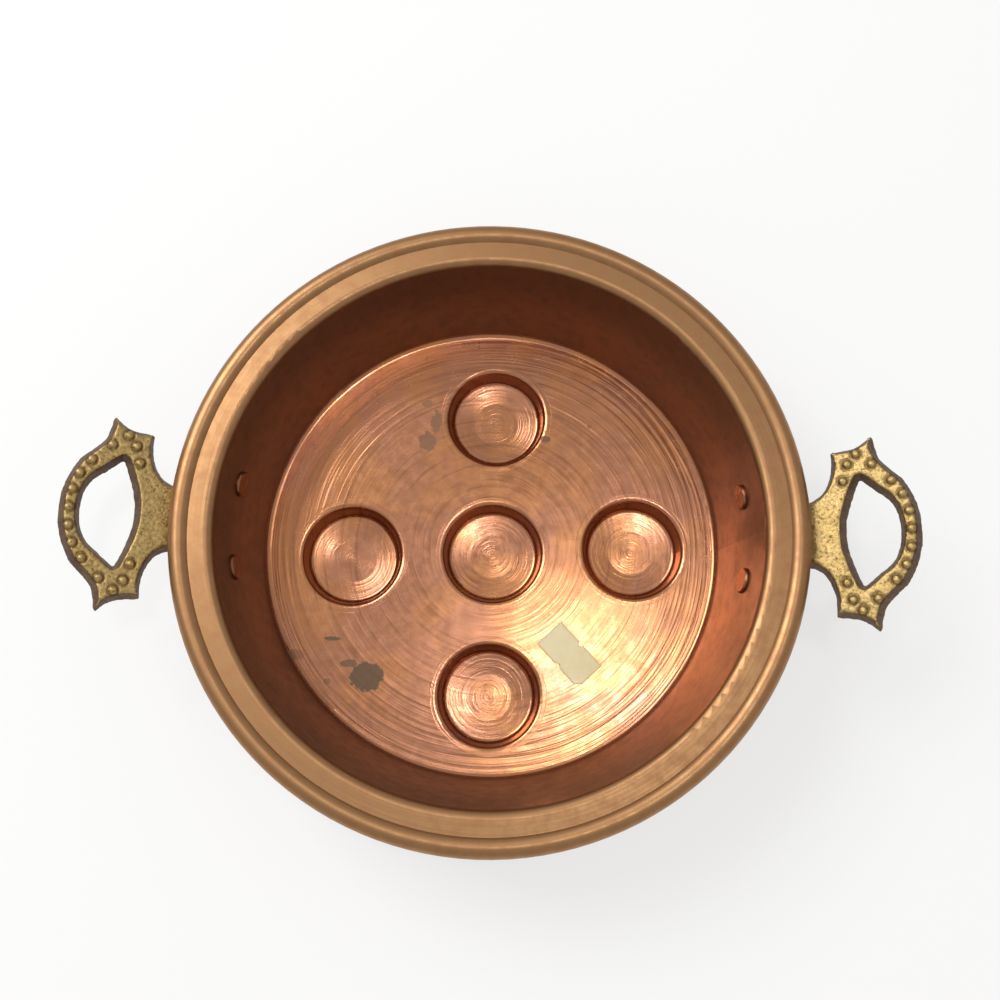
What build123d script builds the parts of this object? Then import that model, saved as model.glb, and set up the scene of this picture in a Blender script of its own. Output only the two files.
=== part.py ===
from build123d import *
import os
from math import asin, atan2, cos, degrees, hypot, radians, sin, tan

# Round copper egg poacher pan with five egg wells, a wired rim and two riveted cast brass handles.
# Millimetres. +X runs along the handles, +Z is up, and the origin is the middle of the resting plane.

# Copper sheet of the pan
SHEET = 1.2
FLOOR_RADIUS = 79.0
WALL_DEPTH = 45.0
FLOOR_CORNER = 2.0

# Ledge round the mouth
LEDGE_INNER_RADIUS = 86.5
LEDGE_WIDTH = 6.8
LEDGE_ROUNDING = 2.8

# Rolled rim and the wire inside it
WIRE_RADIUS = 2.1
WIRE_CLEARANCE = 0.15
ROLL_RISE = 1.6
ROLL_TUCK_GAP = 0.4

# Egg wells: one in the middle and four round it, struck by hand a little off their circle
WELL_DEPTH = 8.0
WELL_RING_RADIUS = 19.0
WELL_CREASE_RADIUS = 15.6
WELL_FLAT_RADIUS = 8.0
WELL_DISH = 0.9
WELL_SHOULDER = 3.4
WELL_CREASE_ROUNDING = 1.4
WELL_CIRCLE_RADIUS = 49.5
WELL_OFF_CENTRE = (0.6, -2.4)
WELL_CIRCLE_TURNS = (3.0, 90.0, 182.5, 270.0)

# Handle castings, measured in the plane of their pierced grip
GRIP_LENGTH = 33.5874
HANDLE_SLOPE = 25.0
HANDLE_THICKNESS = 4.4
HANDLE_INSET = 2.0
HANDLE_UNDER_ROLL = 0.4
GRIP_CORNER_OUT = 20.0
GRIP_CORNER_HALF_WIDTH = 31.0
GRIP_INNER_OUT = 10.6
GRIP_INNER_HALF_WIDTH = 27.2
GRIP_INNER_SIDE = 9.0
GRIP_NOTCH_DEPTH = 1.2
GRIP_BOW_RADIUS = 19.0
GRIP_BOW_HALF_ANGLE = 56.0
GRIP_WAIST_RUN = 5.0
GRIP_WAIST_SAG = 1.0
NECK_HALF_WIDTH = 10.6
NECK_ROOT_HALF_WIDTH = 14.0
NECK_FLARE = 4.4
NECK_FLARE_SAG = 1.6
NECK_LAP = 4.0
NECK_BRACKET = 5.0
OPENING_NEAR = 11.6
OPENING_TIP_OUT = 18.2
OPENING_TIP_HALF_WIDTH = 17.4
OPENING_TIP_RUN = 3.0
OPENING_TIP_LENGTH = 5.0
OPENING_BAR = 6.4
OPENING_NEAR_BOW = 0.4

# Wall plate of each handle and its two rivets
PLATE_THICKNESS = 3.4
PLATE_CLEARANCE = 0.2
PLATE_LOBE_RADIUS = 7.2
PLATE_WEB_ROUNDING = 2.5
RIVET_SPACING = 28.0
RIVET_BELOW_LEDGE = 17.5
RIVET_SHANK_RADIUS = 2.2
RIVET_HOLE_CLEARANCE = 0.15
RIVET_INNER_HEAD_RADIUS = 4.2
RIVET_INNER_HEAD_HEIGHT = 0.9
RIVET_OUTER_HEAD_RADIUS = 3.9
RIVET_OUTER_HEAD_HEIGHT = 2.2
RIVET_HEAD_CLEARANCE = 0.15

# Heights and radii that follow from the sizes above
WELL_BOTTOM = SHEET
FLOOR_TOP = WELL_BOTTOM + WELL_DEPTH
LEDGE_TOP = FLOOR_TOP + WALL_DEPTH
LEDGE_OUTER_RADIUS = LEDGE_INNER_RADIUS + LEDGE_WIDTH
ROLL_INSIDE = WIRE_RADIUS + WIRE_CLEARANCE
ROLL_OUTSIDE = ROLL_INSIDE + SHEET
ROLL_RADIUS = LEDGE_OUTER_RADIUS + ROLL_OUTSIDE
ROLL_HEIGHT = LEDGE_TOP + ROLL_RISE - ROLL_OUTSIDE
ROLL_BOTTOM = ROLL_HEIGHT - ROLL_OUTSIDE
RIM_RADIUS = ROLL_RADIUS + ROLL_OUTSIDE
WALL_LEAN = degrees(atan2(LEDGE_INNER_RADIUS - FLOOR_RADIUS, WALL_DEPTH))
RIVET_HEIGHT = LEDGE_TOP - RIVET_BELOW_LEDGE


def wall_radius(height):
    """Radius of the wall's inner face at a height."""
    share = (height - FLOOR_TOP) / WALL_DEPTH
    return FLOOR_RADIUS + (LEDGE_INNER_RADIUS - FLOOR_RADIUS) * share


def offset_corner(before, corner, after, distance):
    """Corner of a line that runs beside a bent line, on its right-hand side."""
    ways = []
    for start, end in ((before, corner), (corner, after)):
        length = hypot(end[0] - start[0], end[1] - start[1])
        ways.append(((end[0] - start[0]) / length, (end[1] - start[1]) / length))
    (ax, az), (bx, bz) = ways
    turn = 1 + ax * bx + az * bz
    return (
        corner[0] + distance * (az + bz) / turn,
        corner[1] - distance * (ax + bx) / turn,
    )


def sheet_section(points, radii, thickness):
    """Section of bent sheet: its upper line is given, and its lower line lies to the right of it.

    Radii belong to the upper line, positive where the bend is open upwards and negative over a hump.
    """
    ahead = (2 * points[-1][0] - points[-2][0], 2 * points[-1][1] - points[-2][1])
    behind = (2 * points[0][0] - points[1][0], 2 * points[0][1] - points[1][1])
    padded = [behind] + list(points) + [ahead]
    lower = [offset_corner(*padded[i:i + 3], thickness) for i in range(len(points))]
    upper_radii = [abs(radius) for radius in radii]
    lower_radii = [abs(radius + thickness) if radius > 0 else abs(radius) - thickness for radius in radii]
    with BuildSketch(Plane.XZ) as section:
        with BuildLine():
            FilletPolyline(*points, radius=upper_radii)
            FilletPolyline(*lower, radius=lower_radii)
            Line(points[0], lower[0])
            Line(points[-1], lower[-1])
        make_face()
    return section.sketch


def pan_section():
    """Half section of floor, wall and ledge, without the wells or the roll."""
    points = [
        (0, FLOOR_TOP),
        (FLOOR_RADIUS, FLOOR_TOP),
        (LEDGE_INNER_RADIUS, LEDGE_TOP),
        (LEDGE_OUTER_RADIUS + SHEET, LEDGE_TOP),
    ]
    return sheet_section(points, [FLOOR_CORNER, -LEDGE_ROUNDING], SHEET)


def roll_section():
    """Half section of the rolled edge, which tucks in under the ledge and leaves a slit there."""
    with BuildSketch(Plane.XZ) as section:
        with Locations((ROLL_RADIUS, ROLL_HEIGHT)):
            Circle(ROLL_OUTSIDE)
            Circle(ROLL_INSIDE, mode=Mode.SUBTRACT)
        slit_top = LEDGE_TOP - SHEET
        with Locations((LEDGE_OUTER_RADIUS, slit_top - ROLL_TUCK_GAP / 2)):
            Rectangle(2 * ROLL_OUTSIDE, ROLL_TUCK_GAP, mode=Mode.SUBTRACT)
    return section.sketch


def well_section():
    """Half section of one well: shoulder, sloping side, crease and a shallow dished bottom."""
    points = [
        (0, WELL_BOTTOM),
        (WELL_FLAT_RADIUS, WELL_BOTTOM),
        (WELL_CREASE_RADIUS, WELL_BOTTOM + WELL_DISH),
        (WELL_RING_RADIUS - WELL_SHOULDER / 2, FLOOR_TOP),
        (WELL_RING_RADIUS + WELL_SHOULDER / 2, FLOOR_TOP),
    ]
    return sheet_section(points, [WELL_SHOULDER, WELL_CREASE_ROUNDING, -WELL_SHOULDER / 2], SHEET)


def well_places():
    """Centres of the five wells on the floor."""
    middle_x, middle_y = WELL_OFF_CENTRE
    places = [(middle_x, middle_y)]
    for turn in WELL_CIRCLE_TURNS:
        along = radians(turn)
        places.append((
            middle_x + WELL_CIRCLE_RADIUS * cos(along),
            middle_y + WELL_CIRCLE_RADIUS * sin(along),
        ))
    return places


def wall_frame(azimuth, sideways):
    """Plane on the wall's mid-thickness at rivet height, facing out, turned about the pan's axis."""
    radius = wall_radius(RIVET_HEIGHT) + SHEET / 2
    turn = azimuth + degrees(sideways / radius)
    outward = Vector(cos(radians(WALL_LEAN)), 0, -sin(radians(WALL_LEAN))).rotate(Axis.Z, turn)
    centre = Vector(radius, 0, RIVET_HEIGHT).rotate(Axis.Z, turn)
    across = Vector(0, 1, 0).rotate(Axis.Z, turn)
    return Plane(origin=centre, x_dir=across, z_dir=outward)


def rivet_hole(azimuth, sideways):
    """Cutter for one rivet's hole through the wall and the handle's plate."""
    frame = wall_frame(azimuth, sideways)
    depth = 4 * (SHEET + PLATE_THICKNESS)
    return frame * Cylinder(RIVET_SHANK_RADIUS + RIVET_HOLE_CLEARANCE, depth)


def handle_azimuths():
    """Turns of the two handles about the pan's axis."""
    return {"right": 0, "left": 180}


def rivet_offsets():
    """Places of a handle's two rivets along the wall, from the handle's middle."""
    return {"front": -RIVET_SPACING / 2, "rear": RIVET_SPACING / 2}


def make_pan_body():
    """Spun pan: flat floor with five wells, leaning wall, ledge and rolled edge."""
    body = revolve(pan_section(), Axis.Z) + revolve(roll_section(), Axis.Z)
    well_edge = WELL_RING_RADIUS + WELL_SHOULDER / 2
    opening = Pos(0, 0, FLOOR_TOP - SHEET / 2) * Cylinder(well_edge, 3 * SHEET)
    well = revolve(well_section(), Axis.Z)
    for x, y in well_places():
        body = body - Pos(x, y, 0) * opening + Pos(x, y, 0) * well
    for azimuth in handle_azimuths().values():
        for offset in rivet_offsets().values():
            body = body - rivet_hole(azimuth, offset)
    return body


def make_rim_wire():
    """Stiffening wire that lies inside the rolled edge."""
    with BuildSketch(Plane.XZ) as section:
        with Locations((ROLL_RADIUS, ROLL_HEIGHT)):
            Circle(WIRE_RADIUS)
    return revolve(section.sketch, Axis.Z)


def grip_top_height():
    """Height of the neck's upper face, just under the rolled edge."""
    return ROLL_BOTTOM - HANDLE_UNDER_ROLL


def grip_plane():
    """Plane of the grip's underside; its x axis climbs outward from where the rim ends."""
    slope = radians(HANDLE_SLOPE)
    outward = (cos(slope), 0, sin(slope))
    normal = (-sin(slope), 0, cos(slope))
    start = Vector(RIM_RADIUS, 0, grip_top_height()) - Vector(*normal) * HANDLE_THICKNESS
    return Plane(origin=start, x_dir=outward, z_dir=normal)


def mitre_plane():
    """Plane that halves the bend between the neck and the grip, facing outward."""
    half = radians(HANDLE_SLOPE / 2)
    return Plane(origin=(RIM_RADIUS, 0, grip_top_height()), x_dir=(0, 1, 0), z_dir=(cos(half), 0, sin(half)))


def bow_point(radius, turn):
    """Point on an arc about the centre of the grip's bowed end."""
    centre = GRIP_LENGTH - GRIP_BOW_RADIUS
    return (centre + radius * cos(radians(turn)), radius * sin(radians(turn)))


def mirrored_face(edges):
    """Face, looking up, bounded by some edges on the +Y side and their mirror images."""
    with BuildSketch() as outline:
        with BuildLine():
            add(edges)
            mirror(about=Plane.XZ)
        make_face()
    return outline.sketch


def grip_outline():
    """Crown-like outline: a flaring neck, two pairs of corners and a bowed outer edge."""
    corner = (GRIP_CORNER_OUT, GRIP_CORNER_HALF_WIDTH)
    inner = (GRIP_INNER_OUT, GRIP_INNER_HALF_WIDTH)
    notch = (
        (corner[0] + inner[0]) / 2,
        (corner[1] + inner[1]) / 2 - GRIP_NOTCH_DEPTH,
    )
    neck = (-NECK_LAP, NECK_HALF_WIDTH)
    neck_end = (0, NECK_HALF_WIDTH)
    flare_end = (GRIP_INNER_OUT - 1, GRIP_INNER_HALF_WIDTH - GRIP_INNER_SIDE)
    flare_middle = (
        GRIP_INNER_OUT - NECK_FLARE,
        (neck[1] + flare_end[1]) / 2 - NECK_FLARE_SAG,
    )
    bow_start = bow_point(GRIP_BOW_RADIUS, GRIP_BOW_HALF_ANGLE)
    waist_end = (
        bow_start[0] - GRIP_WAIST_RUN * sin(radians(GRIP_BOW_HALF_ANGLE)),
        bow_start[1] + GRIP_WAIST_RUN * cos(radians(GRIP_BOW_HALF_ANGLE)),
    )
    waist_middle = (
        (corner[0] + waist_end[0]) / 2 - GRIP_WAIST_SAG,
        (corner[1] + waist_end[1]) / 2 - GRIP_WAIST_SAG / 2,
    )
    edges = [
        Line((-NECK_LAP, 0), neck),
        Line(neck, neck_end),
        ThreePointArc(neck_end, flare_middle, flare_end),
        Line(flare_end, inner),
        ThreePointArc(inner, notch, corner),
        ThreePointArc(corner, waist_middle, waist_end),
        Line(waist_end, bow_start),
        ThreePointArc(bow_start, bow_point(GRIP_BOW_RADIUS, GRIP_BOW_HALF_ANGLE / 2), (GRIP_LENGTH, 0)),
    ]
    return mirrored_face(edges)


def grip_opening():
    """Outline of the finger opening: a bowed crescent with a corner at each end."""
    tip = (OPENING_TIP_OUT, OPENING_TIP_HALF_WIDTH)
    far_radius = GRIP_BOW_RADIUS - OPENING_BAR
    near_end = (OPENING_TIP_OUT - OPENING_TIP_RUN, OPENING_TIP_HALF_WIDTH - OPENING_TIP_LENGTH)
    near_middle = (OPENING_NEAR + OPENING_NEAR_BOW, near_end[1] / 2)
    far_start = bow_point(far_radius, GRIP_BOW_HALF_ANGLE)
    edges = [
        ThreePointArc((OPENING_NEAR, 0), near_middle, near_end),
        Line(near_end, tip),
        Line(tip, far_start),
        ThreePointArc(
            far_start,
            bow_point(far_radius, GRIP_BOW_HALF_ANGLE / 2),
            (GRIP_LENGTH - OPENING_BAR, 0),
        ),
    ]
    return mirrored_face(edges)


def make_grip():
    """Pierced grip with sides that slope in towards its upper face, as a sand casting needs."""
    grip = drafted_block(grip_outline(), HANDLE_INSET)
    hole = drafted_block(grip_opening(), -HANDLE_INSET)
    return split(grip_plane() * (grip - hole), bisect_by=mitre_plane(), keep=Keep.TOP)


def drafted_block(outline, inset):
    """Block of the casting's thickness whose sides lean in by an inset as it rises from its outline."""
    upper = offset(outline, -inset, kind=Kind.INTERSECTION)
    return loft([outline.face(), Pos(0, 0, HANDLE_THICKNESS) * upper.face()], ruled=True)


def wall_cone(gap):
    """Solid that fills the pan's wall zone out to a gap from the wall's outer face."""
    spread = (SHEET + gap) / cos(radians(WALL_LEAN))
    cone = Cone(FLOOR_RADIUS + spread, LEDGE_INNER_RADIUS + spread, WALL_DEPTH)
    return Pos(0, 0, FLOOR_TOP + WALL_DEPTH / 2) * cone


def plate_outer_radius(height):
    """Radius of the wall plate's outer face at a height."""
    spread = (SHEET + PLATE_CLEARANCE + PLATE_THICKNESS) / cos(radians(WALL_LEAN))
    return wall_radius(height) + spread


def make_wall_plate():
    """Plate that follows the wall's outside: a lobe round each rivet and a web up to the neck."""
    top = grip_top_height()
    with BuildSketch(Plane.YZ) as outline:
        with Locations((0, RIVET_HEIGHT)):
            SlotCenterToCenter(RIVET_SPACING, 2 * PLATE_LOBE_RADIUS)
        with Locations((0, (RIVET_HEIGHT + top) / 2)):
            Rectangle(2 * NECK_ROOT_HALF_WIDTH, top - RIVET_HEIGHT)
        inner_corners = outline.vertices().filter_by(
            lambda v: abs(v.Z - RIVET_HEIGHT - PLATE_LOBE_RADIUS) < 0.01
            and abs(abs(v.Y) - NECK_ROOT_HALF_WIDTH) < 0.01
        )
        fillet(inner_corners, PLATE_WEB_ROUNDING)
    shell = wall_cone(PLATE_CLEARANCE + PLATE_THICKNESS) - wall_cone(PLATE_CLEARANCE)
    return shell & extrude(outline.sketch, RIM_RADIUS)


def make_neck():
    """Neck from the wall plate, out under the rolled edge and up into the grip, with a bracket below."""
    slope = radians(HANDLE_SLOPE)
    top = grip_top_height()
    under = top - HANDLE_THICKNESS
    root = wall_radius(top)
    plate = plate_outer_radius(under - NECK_BRACKET)
    bend = RIM_RADIUS + HANDLE_THICKNESS * tan(slope / 2)
    with BuildSketch(Plane.XZ) as side:
        with BuildLine():
            Polyline(
                (plate + NECK_BRACKET, under),
                (bend, under),
                (RIM_RADIUS, top),
                (root, top),
                (root, under - NECK_BRACKET),
                (plate, under - NECK_BRACKET),
            )
            RadiusArc((plate, under - NECK_BRACKET), (plate + NECK_BRACKET, under), NECK_BRACKET)
        make_face()
    profile = extrude(side.sketch, 2 * NECK_ROOT_HALF_WIDTH, both=True)
    inner_end = (root - 2 * HANDLE_INSET, NECK_ROOT_HALF_WIDTH)
    outer_end = (RIM_RADIUS + NECK_LAP, NECK_HALF_WIDTH)
    waist_start = (RIM_RADIUS - NECK_LAP / 2, NECK_HALF_WIDTH)
    waist_middle = (
        (inner_end[0] + waist_start[0]) / 2,
        NECK_HALF_WIDTH + (NECK_ROOT_HALF_WIDTH - NECK_HALF_WIDTH) / 4,
    )
    plan = mirrored_face([
        Line((inner_end[0], 0), inner_end),
        ThreePointArc(inner_end, waist_middle, waist_start),
        Line(waist_start, outer_end),
        Line(outer_end, (outer_end[0], 0)),
    ])
    stem = drafted_block(plan, HANDLE_INSET) + extrude(plan, -2 * NECK_BRACKET)
    return (profile & Pos(0, 0, under) * stem) - wall_cone(PLATE_CLEARANCE)


def make_handle(azimuth):
    """One handle casting: wall plate, neck and pierced grip, drilled for its two rivets."""
    casting = make_wall_plate() + make_neck() + make_grip()
    for offset in rivet_offsets().values():
        casting = casting - rivet_hole(0, offset)
    return Rot(0, 0, azimuth) * casting


def make_rivet(azimuth, sideways):
    """Rivet with a flat head inside the pan and a domed head on the handle's plate."""
    inner_seat = -SHEET / 2 - RIVET_HEAD_CLEARANCE
    inner_end = inner_seat - RIVET_INNER_HEAD_HEIGHT
    outer_seat = SHEET / 2 + PLATE_CLEARANCE + PLATE_THICKNESS + RIVET_HEAD_CLEARANCE
    outer_end = outer_seat + RIVET_OUTER_HEAD_HEIGHT
    dome_radius = (RIVET_OUTER_HEAD_RADIUS ** 2 + RIVET_OUTER_HEAD_HEIGHT ** 2) / (2 * RIVET_OUTER_HEAD_HEIGHT)
    half_turn = asin(RIVET_OUTER_HEAD_RADIUS / dome_radius) / 2
    dome = (dome_radius * sin(half_turn), outer_end - dome_radius * (1 - cos(half_turn)))
    bevel = RIVET_INNER_HEAD_HEIGHT / 2
    with BuildSketch(Plane.XZ) as section:
        with BuildLine():
            Polyline(
                (0, outer_end),
                (0, inner_end),
                (RIVET_INNER_HEAD_RADIUS - bevel, inner_end),
                (RIVET_INNER_HEAD_RADIUS, inner_end + bevel),
                (RIVET_INNER_HEAD_RADIUS, inner_seat),
                (RIVET_SHANK_RADIUS, inner_seat),
                (RIVET_SHANK_RADIUS, outer_seat),
                (RIVET_OUTER_HEAD_RADIUS, outer_seat),
            )
            ThreePointArc((RIVET_OUTER_HEAD_RADIUS, outer_seat), dome, (0, outer_end))
        make_face()
    return wall_frame(azimuth, sideways) * revolve(section.sketch, Axis.Z)


def main():
    os.makedirs("parts", exist_ok=True)
    nodes = {"pan_body": make_pan_body(), "rim_wire": make_rim_wire()}
    for side, azimuth in handle_azimuths().items():
        nodes[f"{side}_handle"] = make_handle(azimuth)
        for place, offset in rivet_offsets().items():
            nodes[f"{side}_{place}_rivet"] = make_rivet(azimuth, offset)
    for name, solid in nodes.items():
        export_step(solid, f"parts/{name}.step")


main()
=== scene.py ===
"""Dressed round copper egg poacher pan: spun sheet with five wells, two cast brass handles, a paper label."""

import math

import bmesh
import bpy
import numpy as np
from bpy.props import FloatProperty, FloatVectorProperty, IntProperty, PointerProperty
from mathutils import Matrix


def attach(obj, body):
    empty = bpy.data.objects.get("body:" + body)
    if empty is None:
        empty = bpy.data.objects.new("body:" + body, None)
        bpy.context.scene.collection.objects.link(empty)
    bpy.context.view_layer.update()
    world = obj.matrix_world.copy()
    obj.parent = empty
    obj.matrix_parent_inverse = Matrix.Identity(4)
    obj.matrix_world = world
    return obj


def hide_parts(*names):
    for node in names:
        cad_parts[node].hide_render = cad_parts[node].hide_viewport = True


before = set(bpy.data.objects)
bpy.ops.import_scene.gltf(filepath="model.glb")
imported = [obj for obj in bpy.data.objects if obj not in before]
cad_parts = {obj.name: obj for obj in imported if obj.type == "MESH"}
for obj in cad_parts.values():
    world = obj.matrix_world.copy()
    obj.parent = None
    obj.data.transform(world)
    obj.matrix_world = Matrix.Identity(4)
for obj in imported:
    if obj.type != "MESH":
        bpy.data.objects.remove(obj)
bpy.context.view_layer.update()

bl_info = {
    "name": "Copper Egg Poacher",
    "version": (1, 0, 0),
    "blender": (4, 5, 0),
    "location": "3D View > Sidebar > Poacher",
    "description": "Dresses the packed pan in copper, cast brass and paper and sets up a pale studio",
    "category": "Object",
}

BODY = "root"
MM = 0.001
# Colour sockets of a Mix node: its two inputs and its result
MIX_FIRST, MIX_SECOND, MIX_RESULT = 6, 7, 2

# Pan sizes that the finishes follow, in millimetres
FLOOR_TOP = 9.2
FLOOR_RADIUS = 79.0
LEDGE_TOP = 54.2
LEDGE_INNER_RADIUS = 86.5
RIM_RADIUS = 100.2
WELL_RADIUS = 19.0
WELL_MARGIN = 1.2
MIDDLE_WELL = (0.6, -2.4)
WELL_CIRCLE_RADIUS = 49.5
WELL_CIRCLE_TURNS = (3.0, 90.0, 182.5, 270.0)
WELL_CENTRES = (MIDDLE_WELL, *(
    (
        MIDDLE_WELL[0] + WELL_CIRCLE_RADIUS * math.cos(turn),
        MIDDLE_WELL[1] + WELL_CIRCLE_RADIUS * math.sin(turn),
    )
    for turn in map(math.radians, WELL_CIRCLE_TURNS)
))
# Where each zone of the sheet starts and where it is whole: heights, radius at the floor, and downward facing
WALL_START = (FLOOR_TOP + 0.3, FLOOR_TOP + 2.2)
LEDGE_START = (LEDGE_TOP - 2.6, LEDGE_TOP - 1.0)
OUTSIDE_START = (FLOOR_RADIUS + 0.5, FLOOR_RADIUS + 0.8)
UNDERSIDE_START = (-0.05, -0.25)

# Grip of a handle, in millimetres: where its upper face starts, its climb, and where the CAD handle is cut
GRIP_START = (RIM_RADIUS, 48.5)
GRIP_SLOPE = math.radians(25)
GRIP_THICKNESS = 4.4
GRIP_CUT = 2.5
# Each curve runs through three points, given as distance out along the grip and distance across it
OUTLINE_TO_CORNER = (
    ((33.6, 0.0), (32.6, 8.3), (28.6, 16.9)),
    ((28.6, 16.9), (25.3, 20.0), (22.2, 23.4)),
    ((22.2, 23.4), (21.2, 26.8), (20.6, 30.2)),
    ((20.6, 30.2), (20.1, 30.9), (19.6, 31.1)),
)
OUTLINE_TO_NECK = (
    ((19.6, 31.1), (16.0, 28.2), (11.6, 27.0)),
    ((11.6, 27.0), (9.2, 26.8), (7.1, 26.4)),
    ((7.1, 26.4), (7.3, 21.5), (6.4, 17.4)),
    ((6.4, 17.4), (4.1, 13.2), (0.0, 10.8)),
    ((0.0, 10.8), (-2.0, 10.6), (-4.0, 10.6)),
    ((-4.0, 10.6), (-4.0, 5.0), (-4.0, 0.0)),
)
OPENING_TO_CORNER = (
    ((27.2, 0.0), (25.6, 7.6), (21.2, 12.2)),
    ((21.2, 12.2), (18.6, 14.6), (16.0, 16.7)),
)
OPENING_TO_NECK = (
    ((16.0, 16.7), (14.2, 12.2), (12.6, 7.4)),
    ((12.6, 7.4), (11.8, 3.7), (11.6, 0.0)),
)
# Centres of the beads in the same measures; all but the tip's stand on both halves of the grip
BEADS = (
    (11.3, 16.0), (12.8, 21.3), (15.5, 24.5), (20.0, 21.0),
    (25.5, 15.4), (28.6, 10.9), (30.2, 5.6), (30.6, 0.0),
)
# Distances in metres within which points of the CAD mesh are merged and lie on the cut
MERGE_DISTANCE = 1e-6
CUT_TOLERANCE = 1e-7
# Points worked out on each curve, and even stations kept on each stretch of a loop
CURVE_STEPS = 200
CORNER_STATIONS = 90
NECK_STATIONS = 110

# Relief of the castings: heights over the upper face between which it fades in, in millimetres,
# and the moat's distance from its bead's centre and its width, in bead radii
RELIEF_FADE = (-1.1, -0.5)
MOAT_PLACE = 1.22
MOAT_WIDTH = 0.24
# Sand grain: wavelength in millimetres, number of waves, and share of the grain's height
SAND_GRAINS = ((1.7, 24, 0.6), (4.6, 16, 1.0))
CASTING_SEEDS = {"left": 11, "right": 29}
# How far a face turns to the grip's upper side where the brass starts to get the upper faces' painted light
# and wear, and where it has them in full
LIT_AND_RUBBED_FACING = (0.62, 0.92)

# Corrosion marks on the floor: centre, reach along x and y and raggedness in millimetres, and strength
STAINS = (
    (-41.5, -46.5, 6.2, 5.4, 2.6, 0.95),
    (-47.8, -42.2, 3.4, 1.5, 1.4, 0.8),
    (-54.9, -48.6, 1.3, 1.3, 0.5, 0.6),
    (-53.9, -33.8, 3.2, 0.8, 0.7, 0.9),
    (-66.3, -39.7, 3.0, 2.0, 1.4, 0.5),
    (-40.7, -29.6, 2.4, 1.6, 1.2, 0.35),
    (-24.0, 37.5, 3.4, 4.2, 2.4, 0.7),
    (-21.0, 45.0, 2.0, 4.4, 1.6, 0.65),
    (-24.5, 52.0, 2.2, 1.4, 1.0, 0.5),
    (18.6, 39.7, 1.9, 1.3, 0.6, 0.85),
    (34.4, 44.8, 0.8, 0.8, 0.3, 0.6),
)
# A stain's outer and inner edge and its halo's, as shares of its reach
STAIN_EDGE = (1.05, 0.85)
HALO_EDGE = (1.9, 1.0)
HALO_SHARE = 0.6
RAGGED_GAIN = 2.4
# Radii between which the floor's broad rings grow deeper, and heights between which the wall darkens, partly
# tarnish and partly painted shade
BANDED_RADII = (44.0, 62.0)
TARNISH_AND_SHADE_HEIGHTS = (26.0, 46.0)

# Label: its place and turn on the floor, its grid, and its small forms in millimetres or shares of its sides
LABEL_CENTRE = (28.1, -37.2)
LABEL_TURN = math.radians(-46.5)
LABEL_STATIONS = (121, 41)
LABEL_GAP = 0.04
TORN_SHARE = (0.9, 0.985)
TORN_DEPTH = 1.9
LIFT_ALONG = (0.8, 1.0)
LIFT_ACROSS = (0.4, 0.0)
LIFT_HEIGHT = 0.45
WAVE_HEIGHT = 0.035
BROWNED_EDGE = 0.7
# Waves of the label's ragged edges: radians over its length, phase, and height in millimetres
EDGE_WAVES = ((47, 0, 0.06), (113, 1, 0.03))

# Studio, in metres: the camera, each lamp's name, place, size, watts and target, the sky, and the floor,
# of which the camera and glossy surfaces see the glow's share as plain white
SENSOR_WIDTH = 36.0
CAMERA_PLACE = (0.0048859, -0.0621272, 0.3700147)
CAMERA_TURN = (0.2154, 0.0, 0.0267)
LAMPS = (
    ("overhead_lamp", (0.12, 0.02, 1.15), 0.1, 1.3, (0.0, 0.0, 0.0)),
    ("left_softbox", (-0.75, 0.55, 1.1), 0.7, 11.0, (0.0, 0.0, 0.02)),
)
SKY_COLOUR = (1.0, 0.985, 0.96, 1.0)
WHITE = (1.0, 1.0, 1.0)
FLOOR_REACH = 3.0
FLOOR_GLOW = 0.62


def srgb(red, green, blue):
    """Linear colour of a screen colour whose parts run from 0 to 255."""
    parts = np.array([red, green, blue]) / 255
    return tuple(np.where(parts <= 0.04045, parts / 12.92, ((parts + 0.055) / 1.055) ** 2.4))


def colour_property(name, description, red, green, blue):
    """Colour that a user can change, given as a screen colour."""
    return FloatVectorProperty(
        name=name, description=description, default=srgb(red, green, blue), subtype="COLOR", min=0, max=1,
    )


def length_property(name, description, millimetres):
    """Length that a user can change, given in millimetres."""
    return FloatProperty(name=name, description=description, default=millimetres * MM, unit="LENGTH", min=0)


class CopperFinish(bpy.types.PropertyGroup):
    """Colours and tool marks of the spun copper sheet."""

    floor_colour: colour_property("Floor", "Rosy copper of the pan's floor", 180, 124, 96)
    worn_colour: colour_property("Worn floor", "Warmer copper where the floor is rubbed", 190, 130, 90)
    # The walls' colour is darker than the floor's, partly for tarnish and partly as painted shade
    wall_colour: colour_property("Wall", "Brown-red copper of the walls", 146, 98, 72)
    ledge_colour: colour_property("Ledge", "Tan bronze of the ledge and the rolled rim", 164, 124, 86)
    outside_colour: colour_property("Outside", "Toned copper of the pan's outside", 152, 104, 74)
    stain_colour: colour_property("Stain", "Brown corrosion on the floor", 100, 76, 54)
    ring_height: length_property("Turning marks", "Height of the marks that the spinning tool left", 0.1)
    dent_height: length_property("Dents", "Height of the broad waves in the sheet", 0.22)


class CastingShape(bpy.types.PropertyGroup):
    """Surface and decoration of the two handle castings."""

    cell: length_property("Cell", "Size of the casting's mesh cells", 0.36)
    rounding_passes: IntProperty(
        name="Rounding", description="Passes that round the casting's edges", default=12, min=0,
    )
    grain_height: length_property("Sand grain", "Height of the grain that the sand mould left", 0.045)
    bead_radius: length_property("Bead radius", "Radius of the raised beads on the grips", 1.35)
    bead_height: length_property("Bead height", "Height of the raised beads on the grips", 0.75)
    draft: length_property("Draft", "Distance by which the grip's sides lean in towards its upper face", 1.8)
    moat_depth: length_property("Moat depth", "Depth of the ring sunk round each bead", 0.3)
    # Gold is painted light with some wear on the upper faces; toned brass is painted shade with some patina on
    # the sides
    gold_colour: colour_property("Gold brass", "Rubbed upper faces of the castings", 174, 148, 98)
    dark_colour: colour_property("Toned brass", "Dark patina on the castings' sides", 104, 80, 56)


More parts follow.
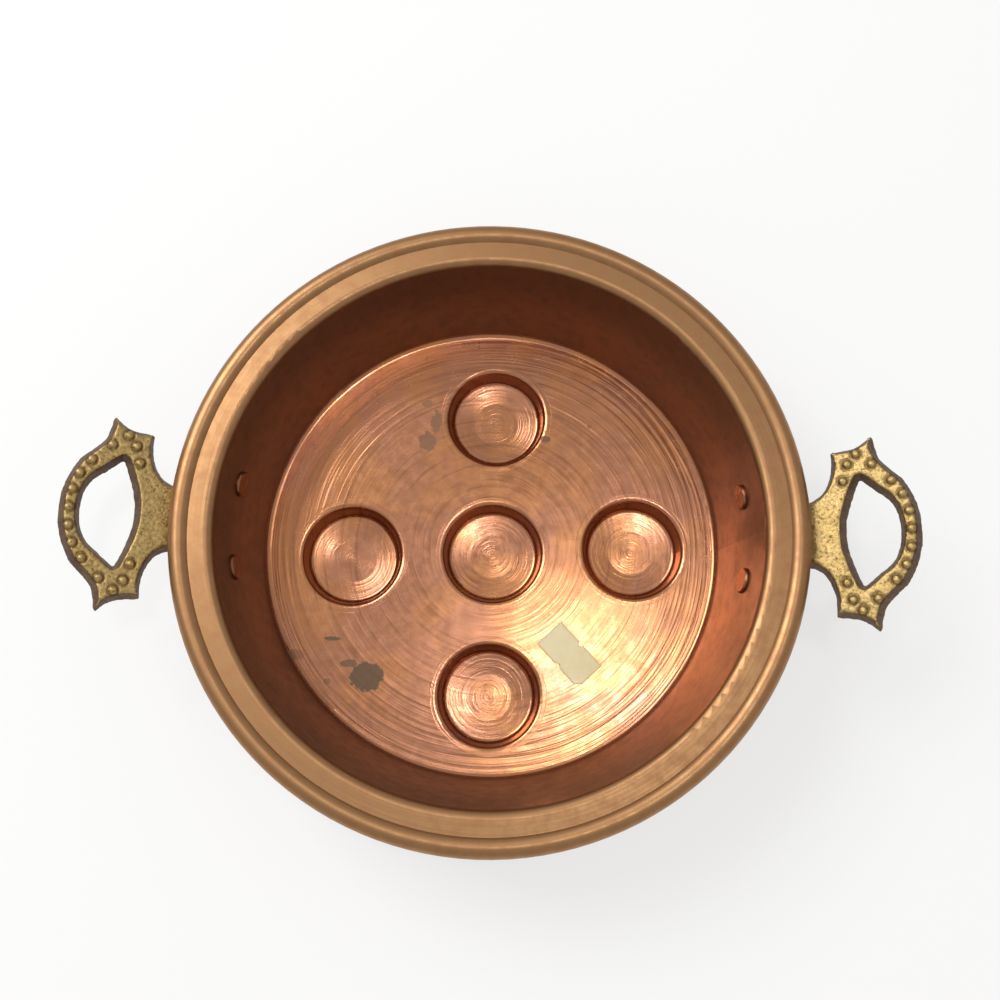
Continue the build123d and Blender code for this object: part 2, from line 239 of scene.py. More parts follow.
class LabelShape(bpy.types.PropertyGroup):
    """Blank paper label stuck to the pan's floor."""

    length: length_property("Length", "Length of the label", 20.6)
    width: length_property("Width", "Width of the label", 11.4)
    thickness: length_property("Thickness", "Thickness of the paper", 0.12)
    notch: length_property("Notch", "Radius of the round notch in each long side", 0.9)
    paper_colour: colour_property("Paper", "Cream of the aged paper", 233, 220, 180)


class StudioSetup(bpy.types.PropertyGroup):
    """Camera, lamps and floor of the studio."""

    lens: FloatProperty(
        name="Lens", description="Focal length on a 36 mm sensor", default=37.32, unit="CAMERA",
    )
    floor_shade: FloatProperty(
        name="Floor", description="Paleness of the studio floor", default=0.86, min=0, max=1,
    )
    sky_level: FloatProperty(
        name="Sky", description="Strength of the even light all round", default=0.62, min=0,
    )


class Signal:
    """Output socket of a node that can be used in plain arithmetic; each sum adds one Math node."""

    def __init__(self, finish, socket):
        self.finish = finish
        self.socket = socket

    def __add__(self, other):
        return self.finish.math("ADD", self, other)

    def __sub__(self, other):
        return self.finish.math("SUBTRACT", self, other)

    def __rsub__(self, other):
        return self.finish.math("SUBTRACT", other, self)

    def __mul__(self, other):
        return self.finish.math("MULTIPLY", self, other)

    def __truediv__(self, other):
        return self.finish.math("DIVIDE", self, other)

    __radd__ = __add__
    __rmul__ = __mul__


class Finish:
    """Node tree of one material, with its piece's Object coordinates in millimetres."""

    def __init__(self, name):
        self.material = bpy.data.materials.new(name)
        self.material.use_nodes = True
        self.tree = self.material.node_tree
        self.shader = self.tree.nodes["Principled BSDF"]
        metres = self.node("ShaderNodeTexCoord", output="Object")
        self.place = self.vector("SCALE", metres, Scale=1 / MM)
        self.x, self.y, self.z = (
            self.node("ShaderNodeSeparateXYZ", inputs={"Vector": self.place}, output=axis) for axis in "XYZ"
        )

    def node(self, kind, settings=None, inputs=None, output=0):
        """Adds a node, sets it up, fills its sockets with values or links, and gives one of its outputs."""
        made = self.tree.nodes.new(kind)
        for key, value in (settings or {}).items():
            setattr(made, key, value)
        for key, value in (inputs or {}).items():
            self.feed(made.inputs[key], value)
        return Signal(self, made.outputs[output])

    def feed(self, socket, value):
        """Links a signal to a socket, or sets the socket's own value."""
        if isinstance(value, Signal):
            self.tree.links.new(value.socket, socket)
        elif socket.type == "RGBA" and len(value) == 3:
            socket.default_value = (*value, 1)
        else:
            socket.default_value = value

    def math(self, operation, first, second=0.0):
        """Math node on two numbers or signals."""
        return self.node("ShaderNodeMath", {"operation": operation}, {0: first, 1: second})

    def vector(self, operation, first, second=None, output=0, **extra):
        """Vector Math node on one or two vectors, with its other sockets given by name."""
        inputs = {0: first, **extra}
        if second is not None:
            inputs[1] = second
        return self.node("ShaderNodeVectorMath", {"operation": operation}, inputs, output)

    def compose(self, x, y, z):
        """Vector of three numbers or signals."""
        return self.node("ShaderNodeCombineXYZ", inputs={"X": x, "Y": y, "Z": z})

    def mix(self, share, first, second, blend="MIX"):
        """Mix of two colours."""
        settings = {"data_type": "RGBA", "blend_type": blend}
        inputs = {0: share, MIX_FIRST: first, MIX_SECOND: second}
        return self.node("ShaderNodeMix", settings, inputs, MIX_RESULT)

    def step(self, value, low, high):
        """Smooth step from 0 at low to 1 at high; low may be the greater."""
        if low > high:
            return 1 - self.step(value, high, low)
        inputs = {"Value": value, "From Min": low, "From Max": high}
        return self.node("ShaderNodeMapRange", {"interpolation_type": "SMOOTHSTEP"}, inputs)

    def noise(self, scale, detail=3.0, roughness=0.55, place=None, distortion=0.0):
        """Noise from 0 to 1 with so many features per millimetre."""
        inputs = {
            "Vector": place or self.place, "Scale": scale, "Detail": detail,
            "Roughness": roughness, "Distortion": distortion,
        }
        return self.node("ShaderNodeTexNoise", inputs=inputs)

    def bump(self, height, distance, before=None):
        """Normal bent by a height signal; distance is the height in metres that a signal of 1 stands for."""
        inputs = {"Height": height, "Distance": distance, "Strength": 1.0}
        if before is not None:
            inputs["Normal"] = before
        return self.node("ShaderNodeBump", inputs=inputs)

    def set(self, **inputs):
        """Feeds the shader's own sockets; an underscore in a name stands for a space."""
        for name, value in inputs.items():
            self.feed(self.shader.inputs[name.replace("_", " ")], value)

    def centred(self, x, y):
        """Level offset from an upright axis at a point, and its length."""
        offset = self.compose(self.x - x, self.y - y, 0.0)
        return offset, self.vector("LENGTH", offset, output="Value")


def turned_marks(finish, offset, radius, pitch, fade):
    """Marks of a spinning tool: noise that is fine along the radius and slow round the turn.

    It is read at the radius over the pitch, and at the direction from the centre times the fade.
    """
    outward = finish.vector("NORMALIZE", offset)
    slow = finish.vector("SCALE", outward, Scale=fade)
    along = finish.compose(0.0, 0.0, radius / pitch)
    return finish.noise(1.0, detail=2.0, roughness=0.6, place=finish.vector("ADD", slow, along))


def nearest_well(finish):
    """Offset from the centre of the well that a point lies in, and a mask of the wells."""
    total = None
    mask = None
    for x, y in WELL_CENTRES:
        offset, radius = finish.centred(x, y)
        inside = finish.math("LESS_THAN", radius, WELL_RADIUS + WELL_MARGIN)
        share = finish.vector("SCALE", offset, Scale=inside)
        total = share if total is None else finish.vector("ADD", total, share)
        mask = inside if mask is None else mask + inside
    return total, mask


def stain_mask(finish):
    """Ragged corrosion patches on the floor, from 0 to 1, and the rubbed halo round them."""
    ragged = finish.noise(0.45, detail=4.0, roughness=0.65) - 0.5
    stain = None
    halo = None
    for x, y, across, deep, ragging, strength in STAINS:
        reach = finish.compose((finish.x - x) / across, (finish.y - y) / deep, 0.0)
        distance = finish.vector("LENGTH", reach, output="Value") + ragged * (RAGGED_GAIN * ragging / across)
        patch = finish.step(distance, *STAIN_EDGE) * strength
        ring = finish.step(distance, *HALO_EDGE) * (strength * HALO_SHARE)
        stain = patch if stain is None else finish.math("MAXIMUM", stain, patch)
        halo = ring if halo is None else finish.math("MAXIMUM", halo, ring)
    return stain, halo


def sheet_zones(copper, radius):
    """Masks of the sheet above its floor, of its ledge and rim, and of its outside.

    The outside lies beyond the line of the leaning wall, or faces down below the floor.
    """
    slope = (LEDGE_INNER_RADIUS - FLOOR_RADIUS) / (LEDGE_TOP - FLOOR_TOP)
    beyond_wall = radius - (copper.z - FLOOR_TOP) * slope
    facing = copper.node("ShaderNodeNewGeometry", output="Normal")
    up = copper.node("ShaderNodeSeparateXYZ", inputs={"Vector": facing}, output="Z")
    above_floor = copper.step(copper.z, *WALL_START)
    on_ledge = copper.step(copper.z, *LEDGE_START)
    outside_wall = copper.step(beyond_wall, *OUTSIDE_START)
    under = copper.step(up, *UNDERSIDE_START) * (1 - above_floor)
    return above_floor, on_ledge, copper.math("MAXIMUM", outside_wall * (1 - on_ledge), under)


def sheet_colour(copper, settings, zones, rings, mottle, speckle):
    """Colour of the sheet without its stains: floor, wall, ledge and outside, each with its own patches."""
    above_floor, on_ledge, outside = zones
    # Dark brown that the upper wall turns to: partly tarnish, partly painted shade
    tarnish_and_shade_wall, speck_tone = srgb(92, 66, 50), (0.62, 0.52, 0.44)
    blotches = copper.noise(0.035, detail=5.0, roughness=0.6)
    floor = copper.mix(copper.step(blotches, 0.42, 0.6), settings.floor_colour, settings.worn_colour)
    floor = copper.mix(copper.step(rings, 0.5, 0.66) * 0.5, floor, settings.wall_colour)
    floor = copper.mix(copper.step(mottle, 0.55, 0.75) * 0.22, floor, settings.ledge_colour)
    wall = copper.mix(copper.step(mottle, 0.4, 0.7) * 0.4, settings.wall_colour, settings.stain_colour)
    # Wall darkened upwards, partly tarnish and partly painted shade
    wall = copper.mix(copper.step(copper.z, *TARNISH_AND_SHADE_HEIGHTS) * 0.55, wall, tarnish_and_shade_wall)
    ledge = copper.mix(copper.step(mottle, 0.35, 0.7) * 0.35, settings.ledge_colour, settings.wall_colour)
    colour = copper.mix(above_floor, floor, wall)
    colour = copper.mix(on_ledge, colour, ledge)
    colour = copper.mix(outside, colour, settings.outside_colour)
    tone = copper.mix(copper.step(speckle, 0.6, 0.78) * 0.3, WHITE, speck_tone)
    return copper.mix(1.0, colour, tone, "MULTIPLY")


def sheet_relief(copper, settings, centre, above_floor, on_floor, broad_rings, speckle):
    """Normal of the sheet: turning marks in floor and wells, marks round the wall, dents and specks."""
    centre_offset, radius = centre
    well_offset, in_well = nearest_well(copper)
    well_radius = copper.vector("LENGTH", well_offset, output="Value")
    well_rings = turned_marks(copper, well_offset, well_radius, pitch=0.75, fade=0.5)
    fine_rings = turned_marks(copper, centre_offset, radius, pitch=0.7, fade=1.6)
    flat_rings = well_rings * in_well + fine_rings * (1 - in_well) * 0.3
    banding = copper.step(radius, *BANDED_RADII) * (1 - in_well) * on_floor
    around_wall = copper.compose(copper.x * 0.04, copper.y * 0.04, copper.z * 1.4)
    wall_marks = copper.noise(1.0, detail=2.0, roughness=0.6, place=around_wall)
    dents = copper.noise(0.045, detail=2.0, roughness=0.5)
    normal = copper.bump(flat_rings * on_floor, settings.ring_height)
    normal = copper.bump(broad_rings * (banding * 0.75 + 0.25), 0.2 * MM, normal)
    normal = copper.bump(wall_marks * above_floor, 0.012 * MM, normal)
    normal = copper.bump(dents, settings.dent_height, normal)
    return copper.bump(speckle, 0.006 * MM, normal)


def make_copper(settings):
    """Spun copper: rosy turned floor and wells, brown-red walls darkened partly by tarnish and partly as
    painted shade, tan ledge and rim, toned outside, stains.
    """
    copper = Finish("spun_copper")
    centre = copper.centred(0.0, 0.0)
    zones = sheet_zones(copper, centre[1])
    above_floor, on_ledge, outside = zones
    on_floor = (1 - above_floor) * (1 - outside)
    broad_rings = turned_marks(copper, *centre, pitch=1.9, fade=1.1)
    mottle = copper.noise(0.22, detail=4.0, roughness=0.65)
    speckle = copper.noise(2.4, detail=2.0, roughness=0.7)

    stain, halo = stain_mask(copper)
    stain = stain * on_floor
    colour = sheet_colour(copper, settings, zones, broad_rings, mottle, speckle)
    colour = copper.mix(halo * on_floor * 0.5, colour, settings.worn_colour)
    colour = copper.mix(stain, colour, settings.stain_colour)
    rough = 0.2 + copper.step(mottle, 0.3, 0.7) * 0.08 + above_floor * 0.1 + on_ledge * 0.06 + outside * 0.05
    copper.set(
        Base_Color=colour,
        Metallic=1 - stain * 0.65 - above_floor * (1 - on_ledge) * 0.2,
        Roughness=rough + stain * 0.3,
        Normal=sheet_relief(copper, settings, centre, above_floor, on_floor, broad_rings, speckle),
    )
    return copper.material


def make_rivet_copper(settings):
    """Hammered copper of the rivets: toned, with small flats that the hammer left."""
    rivet = Finish("rivet_copper")
    cells = {"Vector": rivet.place, "Scale": 0.55}
    flats = rivet.node("ShaderNodeTexVoronoi", inputs=cells, output="Distance")
    mottle = rivet.noise(0.8, detail=3.0, roughness=0.6)
    colour = rivet.mix(rivet.step(mottle, 0.35, 0.7) * 0.6, settings.outside_colour, settings.wall_colour)
    normal = rivet.bump(flats, 0.12 * MM)
    normal = rivet.bump(rivet.noise(3.0, detail=2.0), 0.01 * MM, normal)
    rivet.set(Base_Color=colour, Metallic=1.0, Roughness=0.3 + mottle * 0.16, Normal=normal)
    return rivet.material


def make_wire_steel():
    """Drawn steel of the wire inside the rolled rim: grey, with fine scratches along it."""
    dull, bright = srgb(120, 122, 124), srgb(158, 160, 162)
    wire = Finish("drawn_steel")
    stretched = wire.compose(wire.x * 0.1, wire.y * 0.1, wire.z * 9.0)
    scratches = wire.noise(0.5, detail=3.0, roughness=0.7, place=stretched)
    wire.set(
        Base_Color=wire.mix(scratches, dull, bright), Metallic=1.0, Roughness=0.3 + scratches * 0.15,
        Normal=wire.bump(scratches, 0.01 * MM),
    )
    return wire.material


def make_brass(settings):
    """Sand-cast brass: gold on the upper faces, painted light with some wear; dark brown down the sides,
    painted shade with some patina; dark brown in the sand pits, and in the moats as painted shade; grainy all
    over.
    """
    plum_patina, olive_gold, lit_and_worn_gold = srgb(88, 62, 52), srgb(172, 142, 82), srgb(214, 188, 124)
    # Brown of the sand pits, and brown for the moats' painted shade
    pit_brown, moat_shade_brown = srgb(98, 76, 44), srgb(84, 62, 36)
    brass = Finish("sand_cast_brass")
    lit_and_rubbed = brass.node("ShaderNodeAttribute", {"attribute_name": "lit_and_rubbed"}, output="Fac")
    moat_shade = brass.node("ShaderNodeAttribute", {"attribute_name": "moat_shade"}, output="Fac")
    grain = brass.noise(1.1, detail=4.0, roughness=0.7)
    blotches = brass.noise(0.16, detail=4.0, roughness=0.6)
    pits = brass.step(grain, 0.47, 0.36)
    bright = brass.step(grain, 0.55, 0.68)

    dark = brass.mix(brass.step(blotches, 0.4, 0.65), settings.dark_colour, plum_patina)
    gold = brass.mix(brass.step(blotches, 0.35, 0.7) * 0.5, settings.gold_colour, olive_gold)
    # Gold on faces that turn up, toned brass down the sides: painted light and shade, with some wear and
    # patina
    share = brass.math("MINIMUM", brass.math("MAXIMUM", lit_and_rubbed + (grain - 0.5) * 0.9, 0.0), 1.0)
    colour = brass.mix(share, dark, gold)
    # Bright grain on the upper faces: painted glints with some wear
    colour = brass.mix(bright * lit_and_rubbed * 0.5, colour, lit_and_worn_gold)
    colour = brass.mix(pits * 0.6, colour, pit_brown)
    # Moats round the beads darkened as painted shade
    colour = brass.mix(moat_shade * 0.75, colour, moat_shade_brown)
    normal = brass.bump(grain, 0.16 * MM)
    normal = brass.bump(brass.noise(3.2, detail=2.0, roughness=0.6), 0.03 * MM, normal)
    brass.set(
        Base_Color=colour, Metallic=0.96 - (1 - share) * 0.25, Normal=normal,
        Roughness=0.5 - share * 0.12 + pits * 0.16,
    )
    return brass.material


def make_paper(settings):
    """Aged paper: cream with fibres, soft yellow patches and a slightly browned edge."""
    yellowed, fibre_tan, browned = srgb(222, 203, 152), srgb(206, 190, 150), srgb(176, 148, 98)
    paper = Finish("aged_paper")
    fibres = paper.noise(1.6, detail=5.0, roughness=0.75, distortion=0.6)
    patches = paper.noise(0.16, detail=3.0, roughness=0.6)
    edge = paper.node("ShaderNodeAttribute", {"attribute_name": "edge"}, output="Fac")
    colour = paper.mix(paper.step(patches, 0.35, 0.7) * 0.5, settings.paper_colour, yellowed)
    colour = paper.mix(paper.step(fibres, 0.55, 0.75) * 0.4, colour, fibre_tan)
    colour = paper.mix(edge * 0.55, colour, browned)
    paper.set(Base_Color=colour, Roughness=0.72 + fibres * 0.15, Normal=paper.bump(fibres, 0.03 * MM))
    return paper.material


def new_piece(name, mesh, material):
    """Object of a finished mesh that stands in the pan's frame and rides on its body."""
    piece = bpy.data.objects.new(name, mesh)
    bpy.context.scene.collection.objects.link(piece)
    mesh.materials.clear()
    mesh.materials.append(material)
    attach(piece, BODY)
    return piece


def set_attribute(mesh, name, values):
    """Number at each of a mesh's points, which a material reads by its name."""
    attribute = mesh.attributes.new(name, "FLOAT", "POINT")
    attribute.data.foreach_set("value", values.astype(np.float32).ravel())


def grid_mesh(name, points):
    """Mesh of a grid of points, rows by columns by 3; its quads face down where the grid is level."""
    rows, columns = points.shape[:2]
    corner = np.arange(rows * columns).reshape(rows, columns)
    quads = np.stack([corner[:-1, :-1], corner[:-1, 1:], corner[1:, 1:], corner[1:, :-1]], -1).reshape(-1, 4)
    mesh = bpy.data.meshes.new(name)
    mesh.from_pydata(points.reshape(-1, 3), [], quads)
    mesh.shade_smooth()
    return mesh


def smooth_step(value, low, high):
    """Rises from 0 at low to 1 at high with no corners, for whole arrays; low may be the greater."""
    share = np.clip((value - low) / (high - low), 0, 1)
    return share * share * (3 - 2 * share)


def sand_waves(points, wavelength, count, seed):
    """Even random relief: the sum of sine waves in random directions, over the root of their count."""
    draw = np.random.default_rng(seed)
    directions = draw.normal(size=(count, 3))
    directions /= np.linalg.norm(directions, axis=1, keepdims=True)
    phases = draw.uniform(0, 2 * np.pi, count)
    return np.sin(points @ directions.T * (2 * np.pi / wavelength) + phases).mean(1) * math.sqrt(count)


def curve_run(curves, count):
    """Evenly spaced points on joined curves, each the quadratic that passes its middle point half way."""
    share = np.linspace(0, 1, CURVE_STEPS)[:, None]
    pieces = [
        np.array(first) * (1 - share) * (1 - 2 * share) + np.array(middle) * 4 * share * (1 - share)
        + np.array(last) * share * (2 * share - 1)
        for first, middle, last in curves
    ]
    run = np.concatenate(pieces)
    length = np.concatenate([[0], np.cumsum(np.linalg.norm(np.diff(run, axis=0), axis=1))])
    even = np.linspace(0, length[-1], count)
    return np.stack([np.interp(even, length, run[:, axis]) for axis in (0, 1)], -1)


def whole_loop(to_corner, to_neck):
    """Closed loop about a grip: from the tip past the corner to the neck, and its mirror image back."""
    outer = curve_run(to_corner, CORNER_STATIONS)
    half = np.concatenate([outer[:-1], curve_run(to_neck, NECK_STATIONS)])
    return np.concatenate([half, half[-2:0:-1] * (1, -1)])


def moved_sideways(loop, distance):
    """Loop moved along its own normals, inwards for a positive distance."""
    along = np.roll(loop, -1, axis=0) - np.roll(loop, 1, axis=0)
    along /= np.linalg.norm(along, axis=1, keepdims=True)
    return loop + np.stack([-along[:, 1], along[:, 0]], -1) * distance


def grip_ring(side_sign, draft):
    """Pierced grip as a closed ring: its section runs from the opening's lower edge out, up, in and down.

    The sides lean in by the draft as they rise, on the outline and in the opening alike.
    """
    outline = whole_loop(OUTLINE_TO_CORNER, OUTLINE_TO_NECK)
    opening = whole_loop(OPENING_TO_CORNER, OPENING_TO_NECK)
    levels = (
        (opening, -GRIP_THICKNESS), (outline, -GRIP_THICKNESS),
        (moved_sideways(outline, draft), 0.0), (moved_sideways(opening, -draft), 0.0),
    )
    plan = np.stack([level for level, over in levels], 1)
    over = np.array([over for level, over in levels])[None, :]
    cosine, sine = math.cos(GRIP_SLOPE), math.sin(GRIP_SLOPE)
    points = np.stack([
        side_sign * (GRIP_START[0] + plan[..., 0] * cosine - over * sine),
        plan[..., 1],
        GRIP_START[1] + plan[..., 0] * sine + over * cosine,
    ], -1) * MM
    rows, columns = points.shape[:2]
    corner = np.arange(rows * columns).reshape(rows, columns)
    ahead, beside = np.roll(corner, -1, axis=0), np.roll(corner, -1, axis=1)
    quads = np.stack([corner, beside, np.roll(ahead, -1, axis=1), ahead], -1).reshape(-1, 4)
    mesh = bpy.data.meshes.new("grip_ring")
    mesh.from_pydata(points.reshape(-1, 3), [], quads)
    return mesh


def rough_casting(node, side_sign, draft):
    """The CAD handle's plate and neck, cut just past the rim and closed, with the grip ring set into it."""
    work = bmesh.new()
    work.from_mesh(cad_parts[node].data)
    bmesh.ops.remove_doubles(work, verts=work.verts, dist=MERGE_DISTANCE)
    out = (side_sign * math.cos(GRIP_SLOPE), 0, math.sin(GRIP_SLOPE))
    start = np.array([side_sign * GRIP_START[0], 0, GRIP_START[1]]) * MM
    cut = bmesh.ops.bisect_plane(
        work, geom=[*work.verts, *work.edges, *work.faces], dist=CUT_TOLERANCE,
        plane_co=start + np.array(out) * GRIP_CUT * MM, plane_no=out, clear_outer=True,
    )
    edges = [item for item in cut["geom_cut"] if isinstance(item, bmesh.types.BMEdge)]
    bmesh.ops.holes_fill(work, edges=edges)
    work.from_mesh(grip_ring(side_sign, draft))
    bmesh.ops.recalc_face_normals(work, faces=work.faces)
    mesh = bpy.data.meshes.new(node)
    work.to_mesh(mesh)
    work.free()
    return mesh


def remeshed(mesh, cell, passes):
    """Mesh rebuilt in even cells with its edges rounded, as a casting's are."""
    carrier = bpy.data.objects.new("carrier", mesh)
    bpy.context.scene.collection.objects.link(carrier)
    cells = carrier.modifiers.new("cells", "REMESH")
    cells.mode = "VOXEL"
    cells.voxel_size = cell
    cells.use_smooth_shade = True
    rounding = carrier.modifiers.new("rounding", "SMOOTH")
    rounding.factor = 0.5
    rounding.iterations = passes
    made = bpy.data.meshes.new_from_object(carrier.evaluated_get(bpy.context.evaluated_depsgraph_get()))
    bpy.data.objects.remove(carrier)
    return made


def vertex_vectors(mesh, attribute):
    """Places or normals of a mesh's points, as an array of rows of three."""
    values = np.zeros(len(mesh.vertices) * 3, np.float32)
    mesh.vertices.foreach_get(attribute, values)
    return values.reshape(-1, 3).astype(float)


def grip_coordinates(points):
    """Distance out along a grip, distance across it and height over its upper face, in metres."""
    reach = np.abs(points[:, 0]) - GRIP_START[0] * MM
    rise = points[:, 2] - GRIP_START[1] * MM
    cosine, sine = math.cos(GRIP_SLOPE), math.sin(GRIP_SLOPE)
    return reach * cosine + rise * sine, points[:, 1], rise * cosine - reach * sine


def bead_relief(points, settings):
    """Height that the beads add and the weight of their moats' painted shade: a dome round each centre, in a
    ring-shaped moat.

    The dome is the upper half of a flattened ball; the moat is a bell curve over the distance.
    """
    out, across, over = grip_coordinates(points)
    near_face = smooth_step(over, RELIEF_FADE[0] * MM, RELIEF_FADE[1] * MM)
    height = np.zeros(len(points))
    moat_shade = np.zeros(len(points))
    for bead_out, bead_across in BEADS:
        for side in ((-1, 1) if bead_across else (1,)):
            distance = np.hypot(out - bead_out * MM, across - side * bead_across * MM) / settings.bead_radius
            dome = np.sqrt(np.clip(1 - distance ** 2, 0, 1)) * settings.bead_height
            moat = np.exp(-((distance - MOAT_PLACE) / MOAT_WIDTH) ** 2)
            height += (dome - moat * settings.moat_depth) * near_face
            moat_shade += moat * near_face
    return height, moat_shade


def make_casting(side, seed, settings, material):
    """Handle casting of one side: the rough casting in even cells, rounded, grained, with its row of beads."""
    node = f"{side}_handle"
    side_sign = 1 if side == "right" else -1
    sharp = rough_casting(node, side_sign, settings.draft / MM)
    mesh = remeshed(sharp, settings.cell, settings.rounding_passes)
    points = vertex_vectors(mesh, "co")
    normals = vertex_vectors(mesh, "normal")
    grain = sum(
        sand_waves(points / MM, wavelength, count, seed + index) * share
        for index, (wavelength, count, share) in enumerate(SAND_GRAINS)
    )
    relief, moat_shade = bead_relief(points, settings)
    points += normals * (grain * settings.grain_height + relief)[:, None]
    mesh.vertices.foreach_set("co", points.astype(np.float32).ravel())
    mesh.update()
    mesh.shade_smooth()
    # Faces turned to the grip's upper side get the gold: painted light with some wear
    outwards = np.sign(points[:, 0]) * normals[:, 0]
    facing = normals[:, 2] * math.cos(GRIP_SLOPE) - outwards * math.sin(GRIP_SLOPE)
    set_attribute(mesh, "lit_and_rubbed", smooth_step(facing, *LIT_AND_RUBBED_FACING))
    # Painted shade in the moats round the beads
    set_attribute(mesh, "moat_shade", np.clip(moat_shade, 0, 1))
    piece = new_piece(f"{side}_handle_casting", mesh, material)
    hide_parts(node)


def label_outline(along, settings):
    """Lower and upper edge of the label at each share of its length.

    Both run straight but for a round notch at half length; a corner is torn off the lower edge's far end.
    """
    place = along * settings.length
    notch = np.sqrt(np.clip(settings.notch ** 2 - (place - 0.5 * settings.length) ** 2, 0, None))
    torn = smooth_step(along, *TORN_SHARE) * TORN_DEPTH * MM
    ragged = sum(np.sin(along * turns + phase) * height * MM for turns, phase, height in EDGE_WAVES)
    return notch + torn + ragged * 0.5, settings.width - notch + ragged * 0.4


def make_label(settings, material):
    """Blank label: a grid between its two edges, slightly wavy and lifted at the torn corner.

    The grid is the paper's lower side; its faces point down, so Solidify adds the thickness above it.
    """
    stations = [np.linspace(0, 1, count) for count in LABEL_STATIONS]
    along, across = np.meshgrid(*stations, indexing="ij")
    low, high = label_outline(along, settings)
    out = (along - 0.5) * settings.length
    side = low + (high - low) * across - settings.width / 2
    lift = smooth_step(along, *LIFT_ALONG) * smooth_step(across, *LIFT_ACROSS) * LIFT_HEIGHT * MM
    waves = (np.sin(along * 9 + across * 3) + 1) * WAVE_HEIGHT * MM
    height = FLOOR_TOP * MM + LABEL_GAP * MM + settings.thickness + lift + waves
    cosine, sine = math.cos(LABEL_TURN), math.sin(LABEL_TURN)
    points = np.stack([
        LABEL_CENTRE[0] * MM + out * cosine - side * sine,
        LABEL_CENTRE[1] * MM + out * sine + side * cosine,
        height,
    ], -1)
    mesh = grid_mesh("paper_label", points)
    inwards = [
        np.minimum(share, 1 - share) * reach
        for share, reach in ((along, settings.length), (across, settings.width))
    ]
    set_attribute(mesh, "edge", smooth_step(np.minimum(*inwards), BROWNED_EDGE * MM, 0.0))
    piece = new_piece("paper_label", mesh, material)
    sheet = piece.modifiers.new("paper", "SOLIDIFY")
    sheet.thickness = settings.thickness
    sheet.offset = -1


def dress_node(node, material):
    """Gives a CAD node a better material in its own slots."""
    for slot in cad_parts[node].material_slots:
        slot.material = material


def aim(thing, target):
    """Turns a lamp so that it looks at a point."""
    direction = target - np.array(thing.location)
    flat = math.hypot(direction[0], direction[1])
    thing.rotation_euler = (math.atan2(flat, -direction[2]), 0, math.atan2(-direction[0], direction[1]))


def add_lamp(name, place, size, power, target):
    """Soft square lamp that looks at a target."""
    lamp = bpy.data.lights.new(name, "AREA")
    lamp.shape = "SQUARE"
    lamp.size = size
    lamp.energy = power
    holder = bpy.data.objects.new(name, lamp)
    holder.location = place
    bpy.context.scene.collection.objects.link(holder)
    aim(holder, np.array(target))


def add_camera(settings):
    """Camera that looks down on the pan from the photograph's place."""
    camera = bpy.data.cameras.new("photo_camera")
    camera.sensor_width = SENSOR_WIDTH
    camera.lens = settings.lens
    holder = bpy.data.objects.new("photo_camera", camera)
    holder.location = CAMERA_PLACE
    holder.rotation_euler = CAMERA_TURN
    bpy.context.scene.collection.objects.link(holder)
    bpy.context.scene.camera = holder


def make_sky(settings):
    """Even light from all round."""
    world = bpy.data.worlds.new("studio_sky")
    world.use_nodes = True
    sky = world.node_tree.nodes["Background"]
    sky.inputs["Color"].default_value = SKY_COLOUR
    sky.inputs["Strength"].default_value = settings.sky_level
    bpy.context.scene.world = world


def make_studio_floor(settings):
    """Pale floor that the camera and glossy surfaces see near white, and that keeps soft shadows."""
    ends = np.linspace(-FLOOR_REACH, FLOOR_REACH, 3)
    x, y = np.meshgrid(ends, ends, indexing="ij")
    mesh = grid_mesh("studio_floor", np.stack([x, y, np.zeros_like(x)], -1))
    floor = bpy.data.objects.new("studio_floor", mesh)
    bpy.context.scene.collection.objects.link(floor)
    paint = Finish("studio_floor")
    paint.set(Base_Color=(settings.floor_shade,) * 3, Roughness=0.8)
    path = [paint.node("ShaderNodeLightPath", output=name) for name in ("Is Camera Ray", "Is Glossy Ray")]
    glow = paint.node("ShaderNodeEmission", inputs={"Color": WHITE, "Strength": 1.0})
    share = paint.math("MAXIMUM", *path) * FLOOR_GLOW
    lit = Signal(paint, paint.shader.outputs[0])
    blend = paint.node("ShaderNodeMixShader", inputs={0: share, 1: lit, 2: glow})
    paint.feed(paint.tree.nodes["Material Output"].inputs["Surface"], blend)
    mesh.materials.append(paint.material)


class POACHER_OT_copper(bpy.types.Operator):
    """Finish the pan's copper sheet, its rivets and the wire in its rim."""

    bl_idname = "poacher.copper"
    bl_label = "Finish Copper"

    def execute(self, context):
        settings = context.scene.poacher_copper
        dress_node("pan_body", make_copper(settings))
        dress_node("rim_wire", make_wire_steel())
        hammered = make_rivet_copper(settings)
        for side in ("left", "right"):
            for place in ("front", "rear"):
                dress_node(f"{side}_{place}_rivet", hammered)
        return {"FINISHED"}


class POACHER_OT_handles(bpy.types.Operator):
    """Cast the two brass handles with rounded edges, sand grain and beads."""

    bl_idname = "poacher.handles"
    bl_label = "Cast Handles"

    def execute(self, context):
        settings = context.scene.poacher_casting
        brass = make_brass(settings)
        for side, seed in CASTING_SEEDS.items():
            make_casting(side, seed, settings, brass)
        return {"FINISHED"}


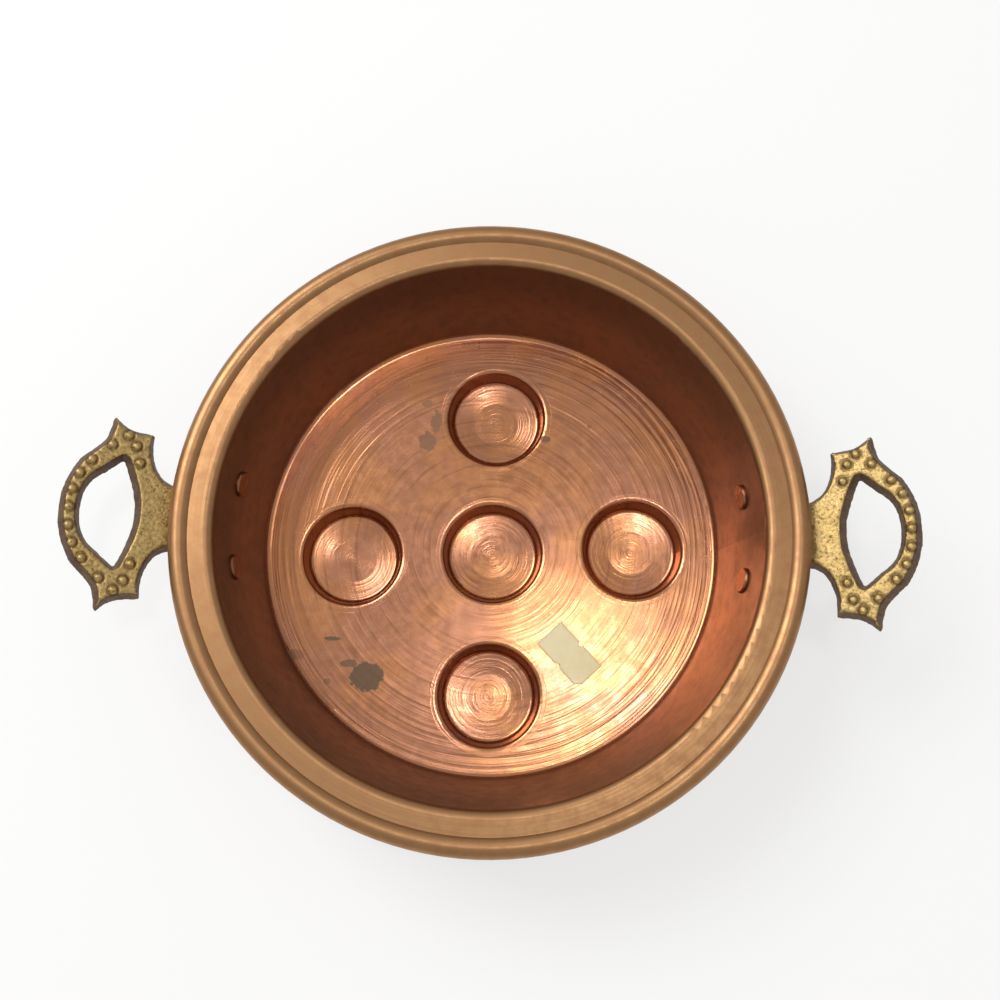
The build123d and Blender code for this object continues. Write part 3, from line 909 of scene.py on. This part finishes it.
class POACHER_OT_label(bpy.types.Operator):
    """Stick the blank paper label to the pan's floor."""

    bl_idname = "poacher.label"
    bl_label = "Stick Label"

    def execute(self, context):
        settings = context.scene.poacher_label
        make_label(settings, make_paper(settings))
        return {"FINISHED"}


class POACHER_OT_studio(bpy.types.Operator):
    """Set up the pale floor, the soft lamps and the camera."""

    bl_idname = "poacher.studio"
    bl_label = "Set Up Studio"

    def execute(self, context):
        settings = context.scene.poacher_studio
        context.scene.view_settings.view_transform = "Standard"
        make_studio_floor(settings)
        make_sky(settings)
        for lamp in LAMPS:
            add_lamp(*lamp)
        add_camera(settings)
        return {"FINISHED"}


class POACHER_PT_panel(bpy.types.Panel):
    """Steps that dress the pan and set up its studio."""

    bl_idname = "POACHER_PT_panel"
    bl_label = "Copper Egg Poacher"
    bl_space_type = "VIEW_3D"
    bl_region_type = "UI"
    bl_category = "Poacher"

    def draw(self, context):
        for operator, group in STEPS:
            box = self.layout.box()
            box.operator(operator.bl_idname)
            settings = getattr(context.scene, group)
            for key in settings.__annotations__:
                box.prop(settings, key)


GROUPS = {
    "poacher_copper": CopperFinish,
    "poacher_casting": CastingShape,
    "poacher_label": LabelShape,
    "poacher_studio": StudioSetup,
}
STEPS = (
    (POACHER_OT_copper, "poacher_copper"),
    (POACHER_OT_handles, "poacher_casting"),
    (POACHER_OT_label, "poacher_label"),
    (POACHER_OT_studio, "poacher_studio"),
)
CLASSES = (*GROUPS.values(), *(operator for operator, group in STEPS), POACHER_PT_panel)


def register():
    """Adds the steps, the panel and the scene's settings to Blender."""
    for item in CLASSES:
        bpy.utils.register_class(item)
    for key, group in GROUPS.items():
        setattr(bpy.types.Scene, key, PointerProperty(type=group))


def unregister():
    """Takes the settings, the panel and the steps out again."""
    for key in GROUPS:
        delattr(bpy.types.Scene, key)
    for item in reversed(CLASSES):
        bpy.utils.unregister_class(item)


def main():
    """Registers the add-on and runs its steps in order."""
    register()
    bpy.ops.poacher.copper()
    bpy.ops.poacher.handles()
    bpy.ops.poacher.label()
    bpy.ops.poacher.studio()


if __name__ == "__main__":
    main()
